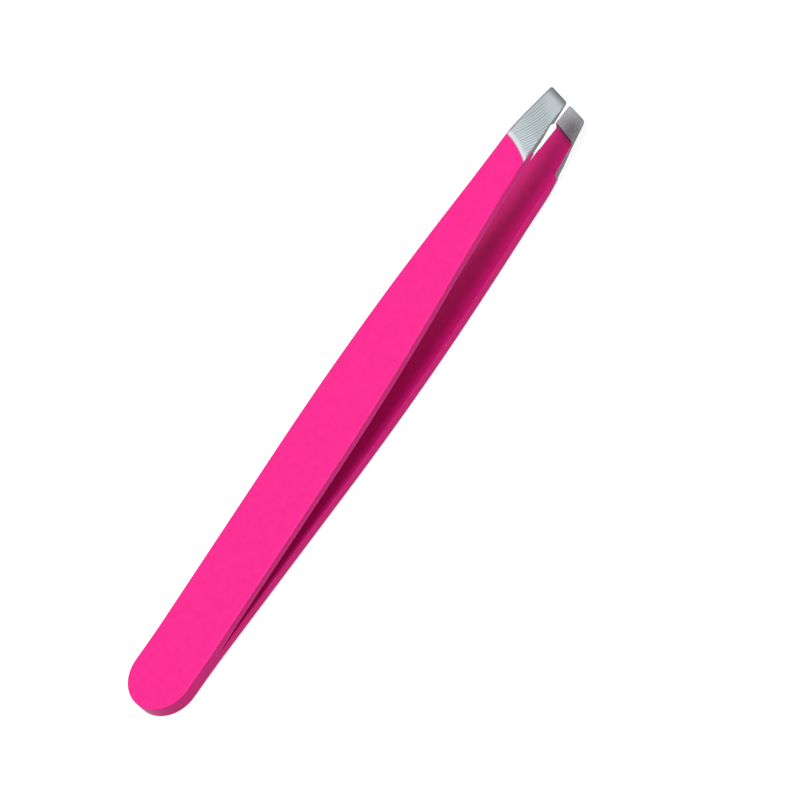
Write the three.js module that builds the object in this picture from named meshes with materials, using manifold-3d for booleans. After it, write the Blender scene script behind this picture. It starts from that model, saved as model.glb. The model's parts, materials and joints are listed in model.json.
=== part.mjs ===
// Slant tweezers: two stamped spring-steel arms, spot welded face to face at the butt, under a baked
// coat of coloured enamel that leaves the ground tips bare.
//
// The arms are drawn in the tweezers' own frame, in millimetres: +X runs from the butt to the tips,
// Z is measured from the plane between the arms, and the lower arm is the upper one turned over in
// that plane. The finished pair is then laid down on the back of its lower arm.
import * as THREE from "three";
import { mergeVertices } from "three/addons/utils/BufferGeometryUtils.js";
import Module from "manifold-3d";

const wasm = await Module();
wasm.setup();

// Sheet and coat
const LENGTH = 95; // butt to the long point of the slanted edge
const WIDTH = 9.62; // across the coat, where the sides run parallel
const SHEET = 0.97; // thickness of the steel
const COAT = 0.06; // thickness of the baked enamel

// Plan outline
const TAPER_CORNER = 51; // where the straight taper would meet the parallel sides
const TAPER_EASE = 13.5; // reach of the curve that rounds that corner, each way
const TIP_WIDTH = 3.3; // width of the taper at the full length
const SLANT = 15; // degrees between the gripping edge and a square end
const TIP_RADIUS = 0.35; // rounding of the two corners of the gripping edge

// Side profile, as the steel's inner face
const WELD_END = 9.4; // where the arms part
const FLARE = 0.049; // slope of each arm away from the plane between them
const BOW_START = 62;
const BOW_END = 84; // the arm runs level here, then turns in
const WELD_EASE = 2; // reach of the curve where the arms part

// Ground tip
const BACK_TURN = 86.6; // where the ground back of the tip would meet the level arm
const BACK_SLOPE = -0.165;
const FACE_TURN = 85.4; // where the inner face turns in
const FACE_SLOPE = -0.03;
const SHOULDER_START = 90.9; // foot of the shoulder behind the gripping pad
const PAD_START = 91.5;
const PAD_RISE = 0.42; // how far the pad stands proud of the face behind it

// Edges of the coat, as places along the arm at the long side, the middle and the short side
const GRIND_EDGE = [86.8, 86.35, 83.9];
const PAD_EDGE = [92.7, 91.6, 90.5];

// Flexure: the bending of each arm, gathered in one hinge a short way along it
const PIVOT_SHARE = 0.15; // of the free length of the arm
const PIVOT_X = WELD_END + PIVOT_SHARE * (LENGTH - WELD_END);

// Spot welds
const NUGGET_PLACES = { weld_nugget_butt: 3.2, weld_nugget_throat: 6.9 };
const NUGGET_RADIUS = 1.3;
const NUGGET_DEPTH = 0.45; // reach into each sheet

// Room around the arms for the solids that cut them
const PAST = 1;
const REACH = 10;

const CURVE_STEPS = 20;
const ROUND_STEPS = 24;

const steel = new THREE.MeshStandardMaterial({ color: 0xbec8cf, roughness: 0.35, metalness: 1 });
const enamel = new THREE.MeshStandardMaterial({ color: 0xfd3291, roughness: 0.45, metalness: 0 });

function solidOf(geometry) {
  geometry.deleteAttribute("normal");
  geometry.deleteAttribute("uv");
  const merged = mergeVertices(geometry);
  return new wasm.Manifold(
    new wasm.Mesh({
      numProp: 3,
      vertProperties: merged.attributes.position.array,
      triVerts: new Uint32Array(merged.index.array),
    }),
  );
}

function meshOf(name, solid, material) {
  const { vertProperties, triVerts } = solid.getMesh();
  const geometry = new THREE.BufferGeometry();
  geometry.setAttribute("position", new THREE.BufferAttribute(vertProperties, 3));
  geometry.setIndex(new THREE.BufferAttribute(triVerts, 1));
  const flat = geometry.toNonIndexed();
  flat.computeVertexNormals();
  const mesh = new THREE.Mesh(flat, material.clone());
  mesh.name = name;
  return mesh;
}

// A shape in the XY plane, extruded both ways along Z.
function plate(shape) {
  const geometry = new THREE.ExtrudeGeometry(shape, {
    depth: 2 * REACH,
    bevelEnabled: false,
    curveSegments: ROUND_STEPS,
  });
  return solidOf(geometry.translate(0, 0, -REACH));
}

// A shape in the XZ plane, extruded both ways along Y.
function slab(shape) {
  const geometry = new THREE.ExtrudeGeometry(shape, { depth: 2 * REACH, bevelEnabled: false });
  return solidOf(geometry.rotateX(Math.PI / 2).translate(0, REACH, 0));
}

// The arm seen from above, drawn in by an inset: a round butt, parallel sides, a long taper and a
// slanted gripping edge whose long point is on the +Y side.
function planOutline(inset) {
  const half = WIDTH / 2 - inset;
  const taper = (WIDTH - TIP_WIDTH) / 2 / (LENGTH - TAPER_CORNER);
  const sideAt = (x) => half - taper * (x - TAPER_CORNER);
  const slant = Math.tan(THREE.MathUtils.degToRad(SLANT));
  const easeStart = TAPER_CORNER - TAPER_EASE;
  const easeEnd = TAPER_CORNER + TAPER_EASE;
  const longPoint = new THREE.Vector2(LENGTH, sideAt(LENGTH));
  const shortX = LENGTH - 2 * sideAt(LENGTH) * slant;
  const shortPoint = new THREE.Vector2(shortX, -sideAt(shortX));
  const edge = new THREE.Vector2().subVectors(longPoint, shortPoint).setLength(TIP_RADIUS);

  const outline = new THREE.Shape();
  outline.absarc(WIDTH / 2, 0, half, Math.PI / 2, (3 * Math.PI) / 2);
  outline.lineTo(easeStart, -half);
  outline.quadraticCurveTo(TAPER_CORNER, -half, easeEnd, -sideAt(easeEnd));
  outline.lineTo(shortX - TIP_RADIUS, -sideAt(shortX - TIP_RADIUS));
  outline.quadraticCurveTo(shortPoint.x, shortPoint.y, shortPoint.x + edge.x, shortPoint.y + edge.y);
  outline.lineTo(longPoint.x - edge.x, longPoint.y - edge.y);
  outline.quadraticCurveTo(longPoint.x, longPoint.y, LENGTH - TIP_RADIUS, sideAt(LENGTH - TIP_RADIUS));
  outline.lineTo(easeEnd, sideAt(easeEnd));
  outline.quadraticCurveTo(TAPER_CORNER, half, easeStart, half);
  outline.closePath();
  return outline;
}

// One face of the upper arm as seen from the side, a lift above the steel's inner face. Both faces
// run alike as far as the level stretch, then turn in at a place and slope of their own.
function faceLine(lift, turn, slope, end) {
  const level = FLARE * ((BOW_START + BOW_END) / 2 - WELD_END) + lift;
  const flareAt = (x) => FLARE * (x - WELD_END) + lift;
  const line = new THREE.Path();
  line.moveTo(-PAST, lift);
  line.lineTo(WELD_END - WELD_EASE, lift);
  line.quadraticCurveTo(WELD_END, lift, WELD_END + WELD_EASE, flareAt(WELD_END + WELD_EASE));
  line.lineTo(BOW_START, flareAt(BOW_START));
  line.quadraticCurveTo((BOW_START + BOW_END) / 2, level, BOW_END, level);
  line.quadraticCurveTo(turn, level, 2 * turn - BOW_END, level + slope * (turn - BOW_END));
  line.lineTo(end, level + slope * (end - turn));
  return line;
}

function backLine(lift) {
  return faceLine(lift, BACK_TURN, BACK_SLOPE, LENGTH + PAST).getPoints(CURVE_STEPS);
}

function innerLine(lift) {
  const line = faceLine(lift, FACE_TURN, FACE_SLOPE, SHOULDER_START);
  const pad = line.currentPoint.y - PAD_RISE;
  line.lineTo(PAD_START, pad);
  line.lineTo(LENGTH + PAST, pad);
  return line.getPoints(CURVE_STEPS);
}

// The upper arm grown by a coat all over, or the bare steel when the coat is 0.
function armSolid(coat) {
  const profile = new THREE.Shape([...innerLine(-coat), ...backLine(SHEET + coat).reverse()]);
  return plate(planOutline(COAT - coat)).intersect(slab(profile));
}

// The part of the plan beyond a curve across the arm.
function beyond([longSide, middle, shortSide]) {
  const region = new THREE.Shape();
  region.moveTo(longSide, TIP_WIDTH);
  region.quadraticCurveTo(middle, 0, shortSide, -TIP_WIDTH);
  region.lineTo(shortSide, -REACH);
  region.lineTo(LENGTH + PAST, -REACH);
  region.lineTo(LENGTH + PAST, REACH);
  region.lineTo(longSide, REACH);
  return plate(region);
}

// Everything on the back's side of the steel's inner face.
function aboveInnerFace() {
  const region = new THREE.Shape([
    ...innerLine(0),
    new THREE.Vector2(LENGTH + PAST, REACH),
    new THREE.Vector2(-PAST, REACH),
  ]);
  return slab(region);
}

// Everything between two places along the tweezers.
function stretch(from, to) {
  const box = new THREE.BoxGeometry(to - from, 2 * REACH, 2 * REACH);
  return solidOf(box.translate((from + to) / 2, 0, 0));
}

// A spot weld's nugget: a lens of fused steel across the plane between the arms.
function nugget(x) {
  const section = [];
  for (let i = 0; i <= ROUND_STEPS / 2; i++) {
    const angle = Math.PI * (i / (ROUND_STEPS / 2) - 0.5);
    section.push(new THREE.Vector2(NUGGET_RADIUS * Math.cos(angle), NUGGET_DEPTH * Math.sin(angle)));
  }
  section[0].x = 0;
  section[section.length - 1].x = 0;
  return solidOf(new THREE.LatheGeometry(section, ROUND_STEPS).rotateX(Math.PI / 2).translate(x, 0, 0));
}

const mirrored = (solid) => solid.mirror([0, 0, 1]);
const heelStretch = stretch(-PAST, PIVOT_X);
const bladeStretch = stretch(PIVOT_X, LENGTH + PAST);

const arm = armSolid(0);
const coatedArm = armSolid(COAT);
const nuggets = Object.entries(NUGGET_PLACES).map(([name, x]) => [name, nugget(x)]);

const bareHeel = arm.intersect(heelStretch);
const heel = nuggets.reduce((solid, [, weld]) => solid.subtract(weld), bareHeel);
const blade = arm.intersect(bladeStretch);
const heelCoat = coatedArm
  .add(mirrored(coatedArm))
  .intersect(heelStretch)
  .subtract(bareHeel.add(mirrored(bareHeel)));
const bladeCoat = coatedArm
  .intersect(bladeStretch)
  .subtract(blade)
  .subtract(beyond(GRIND_EDGE).intersect(aboveInnerFace()))
  .subtract(beyond(PAD_EDGE));

const tweezers = new THREE.Group();
tweezers.add(
  meshOf("upper_heel", heel, steel),
  meshOf("lower_heel", mirrored(heel), steel),
  meshOf("heel_coat", heelCoat, enamel),
  meshOf("upper_blade", blade, steel),
  meshOf("lower_blade", mirrored(blade), steel),
  meshOf("upper_blade_coat", bladeCoat, enamel),
  meshOf("lower_blade_coat", mirrored(bladeCoat), enamel),
  ...nuggets.map(([name, weld]) => meshOf(name, weld, steel)),
);

// Laid on the back of the lower arm, the pair touches at the butt and on the bow.
const backRise = backLine(SHEET + COAT).filter((point) => point.x > WELD_END);
const heelBack = SHEET + COAT;
const tilt = Math.max(...backRise.map((point) => Math.atan2(point.y - heelBack, point.x)));
tweezers.rotation.y = -tilt;

// The part's origin is under the middle of the pair, on the surface it lies on.
const box = new THREE.Box3().setFromObject(tweezers, true);
const middle = box.getCenter(new THREE.Vector3());
tweezers.position.set(-middle.x, -middle.y, -box.min.z);

const part = new THREE.Group();
part.add(tweezers);

export default part;
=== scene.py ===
"""Slant tweezers: two sprung steel arms under a baked pink enamel, with bare ground tips."""

import json
import math

import bmesh
import bpy
import numpy as np
from mathutils import Matrix, Vector


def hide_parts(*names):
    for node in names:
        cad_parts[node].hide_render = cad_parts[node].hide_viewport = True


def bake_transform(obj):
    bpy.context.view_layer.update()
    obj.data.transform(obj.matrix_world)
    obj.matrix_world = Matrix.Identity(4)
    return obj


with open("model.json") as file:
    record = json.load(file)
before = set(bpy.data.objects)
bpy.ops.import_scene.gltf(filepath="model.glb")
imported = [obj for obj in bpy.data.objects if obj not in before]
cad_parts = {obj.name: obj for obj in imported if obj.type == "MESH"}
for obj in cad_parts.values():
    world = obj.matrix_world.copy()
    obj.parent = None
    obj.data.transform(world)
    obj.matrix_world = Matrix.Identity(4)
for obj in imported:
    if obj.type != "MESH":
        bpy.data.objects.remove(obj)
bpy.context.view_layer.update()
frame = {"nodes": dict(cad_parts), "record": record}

MM = 0.001
FAR = 9.0  # a distance that stands for nowhere near, in millimetres

# ---------------------------------------------------------------------------
# The tweezers' own sizes, in millimetres: x runs from the butt to the tips, y towards the slant's
# long point, and z from the plane between the arms. The outline, the sheet, the coat and the bow
# are those of the CAD source, and the tip is worked finer than it is there.
# ---------------------------------------------------------------------------
LENGTH = 95.0
WIDTH = 9.62
SHEET = 0.97
COAT = 0.06
BUTT_RADIUS = WIDTH / 2

TAPER_CORNER = 51.0
TAPER_EASE = 13.5
TIP_WIDTH = 3.3
TAPER = (WIDTH - TIP_WIDTH) / 2 / (LENGTH - TAPER_CORNER)
SLANT = math.tan(math.radians(15.0))
TIP_RADIUS = 0.35

WELD_END = 9.4
WELD_EASE = 2.0
FLARE = 0.049
BOW_CORNER = 73.0
BOW_EASE = 11.0

BACK_TURN = 86.6
BACK_EASE = 2.6
BACK_SLOPE = -0.165
BACK_LEAN = 0.5  # the ground back turns in later towards the long side, by this much a millimetre
FACE_TILT = 0.05  # slope of the inner face across, just behind the pad
TILT_RISE = (85.5, 89.5)
PAD_DROP = 0.585  # how far the gripping pad turns in from the level face
SHOULDER_REACH = 0.65

# Edges of the coat along the arm: where they cross the middle, their lean and their bow
GRIND_EDGE = (85.85, 0.45, -0.046)
PAD_EDGE = (91.6, 0.32, 0.0)
SIDE_LAG = 1.6  # how much further the coat reaches down an arm's side than on its back

# Rounding of the edges: round on the outside, and rolled off wide and shallow on the inside
OUTER_ROUND = 0.08
ROLL_WIDTH = 0.55
ROLL_DEPTH = 0.16
PAD_ROUND = 0.05
EDGE_ROUND = 0.05
LEAST_ROUND = 0.06  # of the outer edges
ROUND_SHARE = 0.3  # the most of an arm's thickness that an outer rounding takes
SEAM_EASE = (10.6, 16.0)  # where the inner edges' roll grows out of the closed seam
ROLL_END = (81.0, 87.5)  # where it fades again

# The coat at its ends: it thins out before the pad, and where the back and the sides are ground bare
# its skins tuck into the steel, which widens there to fill the coat's place
FILM_REACH = 0.4
TUCK = 0.13
TUCK_REACH = 0.12
STEEL_FILLS = (88.0, 87.0)
SKIN_SHARE = 0.9  # how far into the coat's thickness its inner skin lies

# How close each arm's skins come to the plane between the arms, where the arms are welded
COAT_CLEARANCE = 0.004
STEEL_CLEARANCE = 0.006

# The sides stand a little fuller than the straight taper just behind the tip
FULLNESS = 0.12
TIP_FULLNESS = 0.05
FULLNESS_RISE = (78, 85)
FULLNESS_FALL = (88, 92)

# The tip stands over towards its long side
SWAY = 0.25
SWAY_RISE = (83, 91)

# Where the sections stand along an arm: straight ones up to LEAN_FROM, then ones that lean with the
# slant, as shares of the way from there to the skin's end; they stand close where shapes are fine
LEAN_FROM = 70.0
COAT_STRAIGHT = np.concatenate([np.linspace(BUTT_RADIUS, 17, 30), np.linspace(18, LEAN_FROM, 53)])
COAT_SHARES = np.concatenate([np.linspace(0.03, 0.6, 12), np.linspace(0.62, 1.0, 100)])
STEEL_STRAIGHT = np.linspace(BUTT_RADIUS, LEAN_FROM, 30)
STEEL_SHARES = np.concatenate([np.linspace(0.08, 0.56, 6), np.linspace(0.57, 0.97, 200)])
SETTLE_ROUNDS = 4  # a section's width and its place depend on each other, and settle in this many

# Zones of a skin, as shares of an arm's thickness up from the inner face
BACK_SHARE = 0.9
FACE_SHARE = 0.1
SIDE_TOP = (0.99, 0.93)
PAD_TOP = (0.25, 0.1)
SIDE_REACH = (0.06, 0.01)  # distances in from the outline, in millimetres

# Mesh cleaning: points closer than this are one, and edges sharper than this aren't smoothed
WELD_REACH = 1e-5
DEGENERATE = 1e-6
SHARP = math.radians(38)

# The grinding lines of the tip's back are arcs about a point off its long side
FAN_FOCUS = (94.1, 11.3)
FAN_PITCH = 0.38
FAN_WAVER = 0.1  # how far the arcs stray, in pitches
WAVER_PACES = (1.7, 0.9)  # how fast they stray: from arc to arc, and along the arm
GROOVE_DEPTH = 0.005
GROOVE_SPREAD = 0.15  # how much the lines differ in depth
SPREAD_PACES = (2.4, 0.83)  # how fast that goes from arc to arc, as two waves
GROOVE_EDGE = 1.3  # over 1 narrows the lines
GROOVE_RISE = (0.25, 0.8)  # distances beyond the coat's edge
GROOVE_FADE = (1.3, 3.6)  # distances back from the gripping edge
FADE_LEAN = 0.45  # the fade starts further back towards the short side, by this much a millimetre
FAINTEST = 0.25  # share of their depth that the lines keep at the gripping edge
GROOVE_BLUR = (0.1, 1.0)  # distances in from the long side
BLURRED = 0.5  # share of their depth that the lines keep at the long side

# The nose of the tip rolls off towards the gripping edge and the long side
NOSE_REACH = 1.3
NOSE_DROP = 0.05
LONG_SIDE_REACH = 0.8
LONG_SIDE_DROP = 0.025
GROUND_RISE = (0.3, 1.5)  # distances beyond the coat's edge over which the long side's roll grows

# Distances back from the gripping edge of the steel's last sections
TAIL = (0.55, 0.45, 0.35, 0.27, 0.2, 0.14, 0.09, 0.07, 0.05, 0.03, 0.015, 0.004, 0.0)

# ---------------------------------------------------------------------------
# From the tweezers' own frame to the row frame, by the flat on the back of the butt
# ---------------------------------------------------------------------------
FLAT_AT = 4.0  # distance of that mount from the butt's end
flat = next(m for m in frame["record"]["mounts"] if m["name"] == "butt_back_upper")
UP = Vector(flat["axis"]).normalized()
ALONG = Vector((UP.z, 0.0, -UP.x))
BUTT = Vector(flat["pos_m"]) - ALONG * FLAT_AT * MM - UP * (SHEET + COAT) * MM


def placed(x, y, z):
    """A point of the tweezers' own frame, in millimetres, as a point of the row frame in metres."""
    return BUTT + (ALONG * x + Vector((0.0, y, 0.0)) + UP * z) * MM


# ---------------------------------------------------------------------------
# Shape of an arm
# ---------------------------------------------------------------------------
def bend(x, corner, ease):
    """A line that turns from level to a slope of one at a corner, eased over a reach each way."""
    t = np.clip(x - corner, -ease, ease)
    return (t + ease) ** 2 / (4 * ease) + np.clip(x - corner - ease, 0, None)


def smooth_step(low, high, x):
    """0 to 1 as x goes from low to high, eased at both ends; low may be the larger of the two."""
    t = np.clip((x - low) / (high - low), 0, 1)
    return t * t * (3 - 2 * t)


def half_width(x):
    """Half the arm's width, over the coat."""
    loss = FULLNESS - TIP_FULLNESS
    fuller = FULLNESS * smooth_step(*FULLNESS_RISE, x) - loss * smooth_step(*FULLNESS_FALL, x)
    return WIDTH / 2 - TAPER * bend(x, TAPER_CORNER, TAPER_EASE) + fuller


def middle_line(x):
    """Where the middle of the arm's width lies."""
    return SWAY * smooth_step(*SWAY_RISE, x)


def long_side_distance(x, y):
    """How far in from the long side's outline a place lies."""
    return half_width(x) + middle_line(x) - y


def spring_line(x):
    """Height of the steel's inner face along its middle, before the pad's turn inwards."""
    return FLARE * (bend(x, WELD_END, WELD_EASE) - bend(x, BOW_CORNER, BOW_EASE))


def edge_line(edge, y):
    """How far along the arm an edge of the coat lies."""
    middle, lean, bow = edge
    return middle + lean * y + bow * y * y


def inner_face(x, y=0.0):
    """Height of the steel's inner face."""
    face = FACE_TILT * y * smooth_step(*TILT_RISE, x)
    shoulder = smooth_step(-SHOULDER_REACH, 0.0, x - edge_line(PAD_EDGE, y))
    return spring_line(x) + face * (1 - shoulder) - PAD_DROP * shoulder


def back_face(x, y=0.0):
    """Height of the steel's back."""
    return spring_line(x) + SHEET + BACK_SLOPE * bend(x - BACK_LEAN * y, BACK_TURN, BACK_EASE)


def tip_line(y):
    """The gripping edge, in plan."""
    reach = half_width(np.float64(LENGTH))
    return LENGTH - SLANT * reach + SLANT * y


# ---------------------------------------------------------------------------
# Mesh code. An arm's skin is laid as half sections: each runs from the middle of the back, over the
# edge and down the side, to the middle of the inner face. The sections follow the outline from the
# tip along one side, round the butt and back along the other side.
# ---------------------------------------------------------------------------
def half_section(across, round_steps, side_steps):
    """Samples of a half section, as rows of: share of the way out to the rounding, reach into the
    rounding, share of the height, and share of the rounding's drop."""
    flats = [(share, 0.0, 0.0) for share in np.linspace(0, 1, across + 1)]
    turns = 0.5 * math.pi * np.arange(1, round_steps + 1) / round_steps
    rounds = [(1.0, math.sin(turn), 1 - math.cos(turn)) for turn in turns]
    upper = [(share, reach, 1.0, drop) for share, reach, drop in flats + rounds]
    side = [(1.0, 1.0, height, 1.0) for height in np.linspace(1, 0, side_steps + 1)[1:-1]]
    lower = [(share, reach, 0.0, drop) for share, reach, _, drop in reversed(upper)]
    return np.array(upper + side + lower)


def on_top(samples):
    """Which samples lie on the back or its roundings."""
    return samples[:, 2] > 0.999


def merge_grids(name, grids):
    """One mesh from grids of points in the tweezers' frame, welded where they meet."""
    points, faces, start = [], [], 0
    for grid in grids:
        rows, columns = grid.shape[:2]
        points.append(grid.reshape(-1, 3))
        index = start + np.arange(rows * columns).reshape(rows, columns)
        quads = np.stack([index[:-1, :-1], index[1:, :-1], index[1:, 1:], index[:-1, 1:]], -1)
        faces.append(quads.reshape(-1, 4))
        start += rows * columns
    points = np.concatenate(points)
    mesh = bpy.data.meshes.new(name)
    mesh.from_pydata(points.tolist(), [], np.concatenate(faces).tolist())
    bm = bmesh.new()
    bm.from_mesh(mesh)
    bmesh.ops.remove_doubles(bm, verts=bm.verts, dist=WELD_REACH)
    bmesh.ops.dissolve_degenerate(bm, edges=bm.edges, dist=DEGENERATE)
    bmesh.ops.recalc_face_normals(bm, faces=bm.faces)
    for edge in bm.edges:
        edge.smooth = edge.calc_face_angle(0.0) < SHARP
    bm.to_mesh(mesh)
    bm.free()
    return mesh


class Skin:
    """A closed skin of an arm: how far it stands in from the painted surface, where its sections
    end, how close it comes to the other arm, and how deep it tucks into the steel once the back
    and the sides are ground bare."""

    def __init__(self, inset, end, lowest, tuck=0.0):
        self.inset = inset
        self.end = end
        self.lowest = lowest
        self.tuck = tuck

    def tucked(self, x, y):
        return self.tuck * smooth_step(0.0, TUCK_REACH, x - edge_line(GRIND_EDGE, y) - SIDE_LAG)

    def heights(self, x, y):
        """The back and the inner face; the coat thins out to nothing at the pad's edge."""
        film = (COAT - self.inset) * smooth_step(0.0, -FILM_REACH, x - edge_line(PAD_EDGE, y))
        back = back_face(x, y) + COAT - self.inset - self.tucked(x, y)
        return back, np.maximum(inner_face(x, y) - film, self.lowest)

    def half(self, x, side=1.0):
        """Half the width; beyond the coat the steel fills it."""
        full = half_width(x)
        return full - self.inset * smooth_step(*STEEL_FILLS, x) - self.tucked(x, side * full)

    def roundings(self, samples, x):
        """The width and the depth of the rounding at each sample."""
        thickness = back_face(x) - inner_face(x)
        outer = np.minimum(max(OUTER_ROUND - self.inset, LEAST_ROUND), ROUND_SHARE * thickness)
        rolled = smooth_step(*SEAM_EASE, x) * (1 - smooth_step(*ROLL_END, x))
        pad = PAD_ROUND * smooth_step(*SEAM_EASE, x)
        width = pad + (ROLL_WIDTH - self.inset - pad) * rolled
        depth = pad + (ROLL_DEPTH - pad) * rolled
        upper = samples[:, 2] > 0.5
        return np.where(upper, outer, width), np.where(upper, outer, depth)

    def finish(self, samples, x, y, thin=0.0):
        """The section's points, with its heights; thin is how much its nose is thinned."""
        back, inner = self.heights(x, y)
        height, drop = samples[:, 2], samples[:, 3]
        above = self.roundings(np.full_like(samples, 1.0), x)[1] * drop
        below = self.roundings(np.full_like(samples, 0.0), x)[1] * drop
        z = height * (back - above - thin) + (1 - height) * (inner + below + thin)
        return np.stack([x, y, z], -1)

    def strip(self, samples, station, side):
        """The half section at a station; the ones with a share lean towards the skin's end."""
        x = np.full(len(samples), station["x"])
        for _ in range(SETTLE_ROUNDS):
            half = self.half(x, side) - station["shrink"]
            width = self.roundings(samples, x)[0]
            y = side * (samples[:, 0] * (half - width) + samples[:, 1] * width) + middle_line(x)
            if station["share"] is not None:
                reach = self.end(samples, y) - LEAN_FROM
                x = LEAN_FROM + station["share"] * reach - station["back"]
        return self.finish(samples, x, y, station["thin"])

    def ray(self, samples, angle):
        """The half section along a ray of the round butt."""
        half = BUTT_RADIUS - self.inset
        width = self.roundings(samples, np.zeros(len(samples)))[0]
        reach = samples[:, 0] * (half - width) + samples[:, 1] * width
        x = BUTT_RADIUS + reach * math.cos(angle)
        return self.finish(samples, x, reach * math.sin(angle))

    def grid(self, samples, stations, rays):
        """The whole skin, from the +Y side's end round the butt to the -Y side's end."""
        angles = np.linspace(0.5 * math.pi, 1.5 * math.pi, rays + 1)[1:-1]
        rows = [self.strip(samples, station, 1.0) for station in reversed(stations)]
        rows += [self.ray(samples, angle) for angle in angles]
        rows += [self.strip(samples, station, -1.0) for station in stations]
        return np.array(rows)


def station_list(straight, shares, tail=()):
    """Stations at straight places, then leaning ones by share, then a tail near the end given as
    distances back from it."""
    rows = [dict(x=x, share=None, back=0.0, shrink=0.0, thin=0.0) for x in straight]
    rows += [dict(x=LEAN_FROM, share=s, back=0.0, shrink=0.0, thin=0.0) for s in shares]
    for back in tail:
        corner = max(TIP_RADIUS - back, 0.0)
        shrink = TIP_RADIUS - math.sqrt(TIP_RADIUS**2 - corner**2)
        nose = max(EDGE_ROUND - back, 0.0)
        thin = EDGE_ROUND - math.sqrt(EDGE_ROUND**2 - nose**2)
        rows.append(dict(x=LEAN_FROM, share=1.0, back=back, shrink=shrink, thin=thin))
    return rows


def coat_end(samples, y):
    """Where the coat ends: the grinding's edge on the back, and the pad's edge elsewhere. The sides
    tuck into the steel well before that."""
    on_flat = on_top(samples) & (samples[:, 1] < 0.001)
    return np.where(on_flat, edge_line(GRIND_EDGE, y), edge_line(PAD_EDGE, y))


def steel_end(samples, y):
    return tip_line(y)


def end_cap(grid_row):
    """The face that closes a section's end: rungs between its upper and lower samples."""
    count = len(grid_row)
    upper = grid_row[: (count + 1) // 2]
    lower = grid_row[::-1][: (count + 1) // 2]
    return np.stack([upper, lower])


def coat_mesh(name):
    samples = half_section(across=12, round_steps=5, side_steps=3)
    stations = station_list(COAT_STRAIGHT, COAT_SHARES)
    outer = Skin(0.0, coat_end, 0.0, TUCK)
    inner = Skin(COAT * SKIN_SHARE, coat_end, COAT_CLEARANCE, TUCK)
    outer_grid = outer.grid(samples, stations, rays=48)
    inner_grid = inner.grid(samples, stations, rays=48)
    rims = [np.stack([outer_grid[k], inner_grid[k]]) for k in (0, -1)]
    mesh = merge_grids(name, [outer_grid, inner_grid, *rims])
    places = vertex_places(mesh)
    x, y, _ = places.T
    share = height_share(places)
    grind, pad = edge_line(GRIND_EDGE, y) - x, edge_line(PAD_EDGE, y) - x
    store(mesh, "place", places)
    # distance back from the grinding's edge, which carries the painted shade along the coat's edge
    back_rim = np.where(share > BACK_SHARE, grind, grind + SIDE_LAG)
    back_rim = np.where(share < FACE_SHARE, FAR, back_rim)
    # distance back from the pad's edge on the inner face, which carries the painted shade before the pad
    shoulder_shade_distance = np.where(share < FACE_SHARE, pad, FAR)
    store(mesh, "rims", np.stack([back_rim, shoulder_shade_distance, np.zeros_like(x)], -1))
    return mesh


def fan_distance(x, y):
    return np.hypot(x - FAN_FOCUS[0], y - FAN_FOCUS[1])


def groove(x, y):
    """How deep the grinding lines lie under the smooth back of the tip."""
    phase = fan_distance(x, y) / FAN_PITCH
    pace, slow_pace = WAVER_PACES
    phase = phase + FAN_WAVER * np.sin(pace * phase) + FAN_WAVER * np.sin(slow_pace * x)
    wave = (0.5 - 0.5 * np.cos(2 * math.pi * phase)) ** GROOVE_EDGE
    pace, slow_pace = SPREAD_PACES
    spread = np.sin(pace * phase + 0.9) * np.sin(slow_pace * phase)
    uneven = 1 - GROOVE_SPREAD + GROOVE_SPREAD * spread
    rise = smooth_step(*GROOVE_RISE, x - edge_line(GRIND_EDGE, y))
    fade = smooth_step(*GROOVE_FADE, tip_line(y) - x + FADE_LEAN * y)
    fall = FAINTEST + (1 - FAINTEST) * fade
    blur = BLURRED + (1 - BLURRED) * smooth_step(*GROOVE_BLUR, long_side_distance(x, y))
    return GROOVE_DEPTH * wave * uneven * rise * fall * blur


def nose(x, y):
    """How far the tip's back rolls off towards the gripping edge and the long side."""
    edge = np.clip(1 - (tip_line(y) - x) / NOSE_REACH, 0, 1)
    side = np.clip(1 - long_side_distance(x, y) / LONG_SIDE_REACH, 0, 1)
    ground = smooth_step(*GROUND_RISE, x - edge_line(GRIND_EDGE, y))
    return NOSE_DROP * edge**2 + LONG_SIDE_DROP * side**2 * ground


def steel_mesh(name):
    samples = half_section(across=44, round_steps=3, side_steps=3)
    stations = station_list(STEEL_STRAIGHT, STEEL_SHARES, TAIL)
    skin = Skin(COAT, steel_end, STEEL_CLEARANCE)
    grid = skin.grid(samples, stations, rays=24)
    back = on_top(samples)
    for row in grid:
        x, y = row[back, 0], row[back, 1]
        row[back, 2] -= groove(x, y) + nose(x, y)
    mesh = merge_grids(name, [grid, end_cap(grid[0]), end_cap(grid[-1])])
    places = vertex_places(mesh)
    x, y, z = places.T
    share = height_share(places)
    edge = skin.half(x) - np.abs(y - middle_line(x))
    side = smooth_step(*SIDE_REACH, edge) * smooth_step(*SIDE_TOP, share)
    pad = smooth_step(*PAD_TOP, share)
    store(mesh, "place", places)
    store(mesh, "zones", np.stack([side, pad, x - edge_line(GRIND_EDGE, y)], -1))
    turn = np.arctan2(FAN_FOCUS[0] - x, FAN_FOCUS[1] - y) * FAN_FOCUS[1]
    store(mesh, "grain", np.stack([fan_distance(x, y), turn, z], -1))
    depth = groove(x, y) / GROOVE_DEPTH
    store(mesh, "ground", np.stack([depth, tip_line(y) - x, long_side_distance(x, y)], -1))
    return mesh


def vertex_places(mesh):
    return np.array([vertex.co for vertex in mesh.vertices])


def height_share(places):
    """How far up from an arm's inner face each place is, as a share of the arm's thickness."""
    x, y, z = places.T
    low = np.maximum(inner_face(x, y) - COAT, 0)
    return (z - low) / (back_face(x, y) + COAT - low)


def store(mesh, label, values):
    attribute = mesh.attributes.new(label, "FLOAT_VECTOR", "POINT")
    attribute.data.foreach_set("vector", values.astype(np.float32).ravel())


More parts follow.
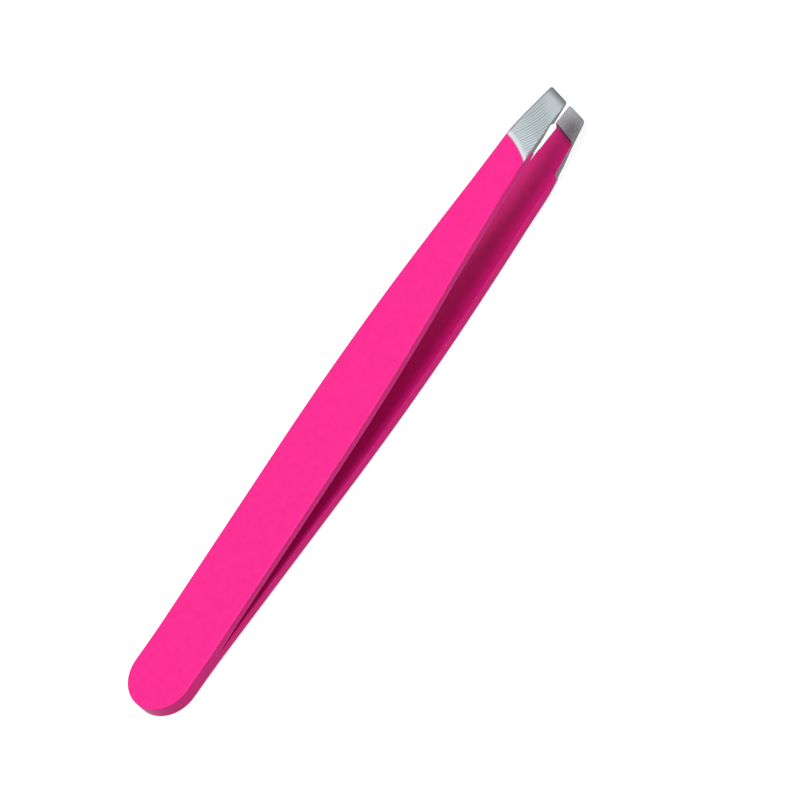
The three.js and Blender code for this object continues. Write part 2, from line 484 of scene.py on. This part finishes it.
def arm_piece(name, mesh, side, nodes, material):
    """An arm's piece in the row frame: the upper one, or the lower one as its mirror image."""
    axes = Matrix((ALONG, (0, 1, 0), UP * side)).transposed()
    matrix = Matrix.Translation(BUTT) @ (axes * MM).to_4x4()
    mesh.transform(matrix)
    if side < 0:
        mesh.flip_normals()
    for polygon in mesh.polygons:
        polygon.use_smooth = True
    mesh.materials.append(material)
    piece = bpy.data.objects.new(name, mesh)
    bpy.context.scene.collection.objects.link(piece)
    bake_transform(piece)
    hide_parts(*nodes)
    return piece


# ---------------------------------------------------------------------------
# Materials: colours are in linear light, reaches in millimetres, and noise scales per millimetre
# ---------------------------------------------------------------------------
ENAMEL_TINTS = ((0.500, 0.0058, 0.146), (0.530, 0.0078, 0.156))
ENAMEL_ROUGHNESS = 0.4
ENAMEL_SPECULAR = 0.12
COAT_EDGE_SHADE = (0.30, 0.12, 0.20)  # the coat's edge at the grinding, greyer where it is cut thin and darker with painted shade
COAT_EDGE_SHADE_REACH = (0.16, 0.04)
SHOULDER_SHADE = (0.10, 0.003, 0.045)  # painted shade: the coat darkened just before the pad, where the shoulder's wall lies in shade
SHOULDER_SHADE_REACH = (0.45, 0.12)

BACK_TINTS = ((0.40, 0.445, 0.47), (0.46, 0.505, 0.53))
# painted shade: the grinding lines darker at their floors, the deeper the groove
GROOVE_SHADE = (0.24, 0.285, 0.30)
GROOVE_SHADE_DEPTH = (0.1, 0.9)  # shares of GROOVE_DEPTH
# painted shade: the back darker towards the gripping edge, where the rolled-off nose reflects less light
NOSE_SHADE = (0.20, 0.21, 0.22)
NOSE_SHADE_REACH = (1.1, 0.0)
# painted shade: the back darker along the long side, where it rolls off
LONG_SIDE_SHADE = (0.22, 0.235, 0.245)
LONG_SIDE_SHADE_REACH = (0.45, 0.05)
RIM_HIGHLIGHT = (0.52, 0.545, 0.56)  # painted highlight: a bright band on the bare steel along the coat's edge, standing in for a reflection
RIM_HIGHLIGHT_REACH = (0.75, 0.3)
PAD_TINTS = ((0.27, 0.265, 0.285), (0.36, 0.355, 0.38))
SIDE_TINTS = ((0.155, 0.16, 0.16), (0.22, 0.225, 0.23))
BACK_GREY = (0.36, 0.36, 0.36)  # eased to a roughness of 0.30
PAD_GREY = (0.6, 0.6, 0.6)  # eased to a roughness of 0.65

WELD_TINTS = ((0.24, 0.23, 0.24), (0.46, 0.45, 0.45))
WELD_RIPPLE = 2500.0  # per metre, as the nuggets carry no places in millimetres


def new_material(name):
    material = bpy.data.materials.new(name)
    material.use_nodes = True
    tree = material.node_tree
    return material, tree, tree.nodes["Principled BSDF"]


def attribute_vector(tree, label):
    node = tree.nodes.new("ShaderNodeAttribute")
    node.attribute_name = label
    return node.outputs["Vector"]


def noise(tree, vector, scale, detail=2.0, stretch=None):
    if stretch is not None:
        mapping = tree.nodes.new("ShaderNodeMapping")
        mapping.inputs["Scale"].default_value = stretch
        tree.links.new(vector, mapping.inputs["Vector"])
        vector = mapping.outputs["Vector"]
    node = tree.nodes.new("ShaderNodeTexNoise")
    node.inputs["Scale"].default_value = scale
    node.inputs["Detail"].default_value = detail
    tree.links.new(vector, node.inputs["Vector"])
    return node.outputs["Fac"]


def ramp(tree, value, low, high, tints):
    """The first tint up to low, the second from high on, and a blend between."""
    node = tree.nodes.new("ShaderNodeValToRGB")
    for element, place, tint in zip(node.color_ramp.elements, (low, high), tints):
        element.position = place
        element.color = (*tint, 1.0)
    tree.links.new(value, node.inputs["Fac"])
    return node.outputs["Color"]


def bump(tree, height, strength, distance, normal=None):
    """A bumped normal; the distance is in metres."""
    node = tree.nodes.new("ShaderNodeBump")
    node.inputs["Strength"].default_value = strength
    node.inputs["Distance"].default_value = distance
    tree.links.new(height, node.inputs["Height"])
    if normal is not None:
        tree.links.new(normal, node.inputs["Normal"])
    return node.outputs["Normal"]


def mix(tree, factor, first, second):
    """A blend of two colours, each a socket or three numbers."""
    node = tree.nodes.new("ShaderNodeMix")
    node.data_type = "RGBA"
    tree.links.new(factor, node.inputs["Factor"])
    for label, value in (("A", first), ("B", second)):
        target = next(i for i in node.inputs if i.name == label and i.type == "RGBA")
        if isinstance(value, tuple):
            target.default_value = (*value, 1.0)
        else:
            tree.links.new(value, target)
    return next(o for o in node.outputs if o.type == "RGBA")


def between(tree, value, low, high):
    """0 to 1 as a value goes from low to high, eased at both ends."""
    node = tree.nodes.new("ShaderNodeMapRange")
    node.interpolation_type = "SMOOTHSTEP"
    node.inputs["From Min"].default_value = low
    node.inputs["From Max"].default_value = high
    tree.links.new(value, node.inputs["Value"])
    return node.outputs["Result"]


def parts_of(tree, vector):
    node = tree.nodes.new("ShaderNodeSeparateXYZ")
    tree.links.new(vector, node.inputs["Vector"])
    return node.outputs["X"], node.outputs["Y"], node.outputs["Z"]


def enamel_material():
    material, tree, shader = new_material("pink_enamel")
    place = attribute_vector(tree, "place")
    back_rim, shoulder_shade_distance, _ = parts_of(tree, attribute_vector(tree, "rims"))
    tint = noise(tree, place, scale=0.9, detail=3.0)
    colour = ramp(tree, tint, 0.35, 0.65, ENAMEL_TINTS)
    # painted shade along the coat's edge at the grinding, over the thin coat's grey
    colour = mix(tree, between(tree, back_rim, *COAT_EDGE_SHADE_REACH), colour, COAT_EDGE_SHADE)
    # painted shade: a dark band on the coat just before the pad, where the shoulder lies in shade
    colour = mix(tree, between(tree, shoulder_shade_distance, *SHOULDER_SHADE_REACH), colour, SHOULDER_SHADE)
    tree.links.new(colour, shader.inputs["Base Color"])
    shader.inputs["Roughness"].default_value = ENAMEL_ROUGHNESS
    shader.inputs["Specular IOR Level"].default_value = ENAMEL_SPECULAR
    peel = bump(tree, noise(tree, place, scale=3.2), strength=0.25, distance=0.00002)
    fine = noise(tree, place, scale=16.0)
    grain = bump(tree, fine, strength=0.2, distance=0.000006, normal=peel)
    tree.links.new(grain, shader.inputs["Normal"])
    return material


def steel_material():
    material, tree, shader = new_material("ground_steel")
    grain = attribute_vector(tree, "grain")
    place = attribute_vector(tree, "place")
    side, pad, rim = parts_of(tree, attribute_vector(tree, "zones"))
    lines = noise(tree, grain, scale=1.0, detail=3.0, stretch=(14.0, 0.3, 0.0))
    depth, tip, long_side = parts_of(tree, attribute_vector(tree, "ground"))
    back = ramp(tree, lines, 0.3, 0.7, BACK_TINTS)
    # painted shade in the grooves of the grinding lines
    back = mix(tree, between(tree, depth, *GROOVE_SHADE_DEPTH), back, GROOVE_SHADE)
    # painted shade towards the gripping edge
    back = mix(tree, between(tree, tip, *NOSE_SHADE_REACH), back, NOSE_SHADE)
    # painted shade along the long side
    back = mix(tree, between(tree, long_side, *LONG_SIDE_SHADE_REACH), back, LONG_SIDE_SHADE)
    # painted highlight on the bare steel next to the coat's edge
    back = mix(tree, between(tree, rim, *RIM_HIGHLIGHT_REACH), back, RIM_HIGHLIGHT)
    mottle = noise(tree, place, scale=5.0, detail=4.0)
    lapped = ramp(tree, mottle, 0.35, 0.65, PAD_TINTS)
    sheared = ramp(tree, mottle, 0.3, 0.7, SIDE_TINTS)
    colour = mix(tree, side, mix(tree, pad, back, lapped), sheared)
    tree.links.new(colour, shader.inputs["Base Color"])
    shader.inputs["Metallic"].default_value = 1.0
    rough = between(tree, mix(tree, pad, BACK_GREY, PAD_GREY), 0.0, 1.0)
    tree.links.new(rough, shader.inputs["Roughness"])
    fine = bump(tree, lines, strength=0.25, distance=0.000004)
    speckle = bump(tree, mottle, strength=0.15, distance=0.00001, normal=fine)
    tree.links.new(speckle, shader.inputs["Normal"])
    return material


def weld_material():
    material, tree, shader = new_material("weld_steel")
    coordinates = tree.nodes.new("ShaderNodeTexCoord").outputs["Object"]
    ripple = noise(tree, coordinates, scale=WELD_RIPPLE, detail=4.0)
    colour = ramp(tree, ripple, 0.3, 0.7, WELD_TINTS)
    tree.links.new(colour, shader.inputs["Base Color"])
    shader.inputs["Metallic"].default_value = 1.0
    shader.inputs["Roughness"].default_value = 0.5
    rippled = bump(tree, ripple, strength=0.5, distance=0.00002)
    tree.links.new(rippled, shader.inputs["Normal"])
    return material


# ---------------------------------------------------------------------------
# Pieces
# ---------------------------------------------------------------------------
enamel = enamel_material()
steel = steel_material()

for label, side in (("upper", 1.0), ("lower", -1.0)):
    arm_piece(
        label + "_arm_steel", steel_mesh(label + "_arm_steel"), side,
        [label + "_heel", label + "_blade"], steel,
    )
    covered = [label + "_blade_coat"] + (["heel_coat"] if label == "upper" else [])
    arm_piece(
        label + "_arm_enamel", coat_mesh(label + "_arm_enamel"), side,
        covered, enamel,
    )

weld = weld_material()
for node in ("weld_nugget_butt", "weld_nugget_throat"):
    nugget = frame["nodes"][node]
    nugget.data.materials.clear()
    nugget.data.materials.append(weld)

# ---------------------------------------------------------------------------
# Stage, light and camera
# ---------------------------------------------------------------------------
# The photo's view, in degrees and metres; the width is what the picture spans at the aim
VIEW_AZIMUTH = -14.708
VIEW_ELEVATION = 50.772
VIEW_ROLL = -41.837
VIEW_DISTANCE = 1.499
VIEW_WIDTH = 0.10145
VIEW_AIM = placed(50.988, -3.428, -2.113)

FLOOR_REACH = 6.0
FLOOR_GREY = 0.12  # takes the shadow; the glow keeps the rest near white
FLOOR_GLOW = 0.88
WORLD_STRENGTH = 0.38


def make_floor():
    reach = FLOOR_REACH
    mesh = bpy.data.meshes.new("floor")
    corners = [(-reach, -reach, 0), (reach, -reach, 0), (reach, reach, 0), (-reach, reach, 0)]
    mesh.from_pydata(corners, [], [(0, 1, 2, 3)])
    material, _, shader = new_material("floor_white")
    shader.inputs["Base Color"].default_value = (FLOOR_GREY, FLOOR_GREY, FLOOR_GREY, 1.0)
    shader.inputs["Emission Color"].default_value = (1.0, 1.0, 1.0, 1.0)
    shader.inputs["Emission Strength"].default_value = FLOOR_GLOW
    shader.inputs["Roughness"].default_value = 0.9
    shader.inputs["Specular IOR Level"].default_value = 0.0
    mesh.materials.append(material)
    floor = bpy.data.objects.new("floor", mesh)
    bpy.context.scene.collection.objects.link(floor)


def area_light(name, direction, distance, size, power):
    data = bpy.data.lights.new(name, "AREA")
    data.shape = "DISK"
    data.size = size
    data.energy = power
    light = bpy.data.objects.new(name, data)
    towards = Vector(direction).normalized()
    light.location = towards * distance
    light.rotation_mode = "QUATERNION"
    light.rotation_quaternion = towards.to_track_quat("Z", "Y")
    bpy.context.scene.collection.objects.link(light)


def make_light():
    world = bpy.data.worlds.new("studio")
    bpy.context.scene.world = world
    world.use_nodes = True
    background = world.node_tree.nodes["Background"]
    background.inputs["Color"].default_value = (1.0, 1.0, 1.0, 1.0)
    background.inputs["Strength"].default_value = WORLD_STRENGTH
    area_light("softbox_top", (-0.1, 0.05, 1.0), distance=1.6, size=1.6, power=44.0)
    area_light("softbox_side", (0.6, -0.6, 0.5), distance=0.6, size=0.4, power=0.8)
    area_light("softbox_far", (0.37, 0.60, 0.71), distance=1.2, size=0.5, power=0.5)


def make_camera():
    azimuth, elevation = math.radians(VIEW_AZIMUTH), math.radians(VIEW_ELEVATION)
    back = Vector((
        math.sin(azimuth) * math.cos(elevation),
        -math.cos(azimuth) * math.cos(elevation),
        math.sin(elevation),
    ))
    data = bpy.data.cameras.new("camera")
    data.lens = data.sensor_width * VIEW_DISTANCE / VIEW_WIDTH
    data.clip_start = 0.01
    data.clip_end = 20.0
    camera = bpy.data.objects.new("camera", data)
    camera.rotation_mode = "QUATERNION"
    level = back.to_track_quat("Z", "Y")
    camera.rotation_quaternion = level @ Matrix.Rotation(math.radians(VIEW_ROLL), 3, "Z").to_quaternion()
    camera.location = VIEW_AIM + back * VIEW_DISTANCE
    bpy.context.scene.collection.objects.link(camera)
    bpy.context.scene.camera = camera


make_floor()
make_light()
make_camera()
bpy.context.scene.view_settings.view_transform = "Standard"
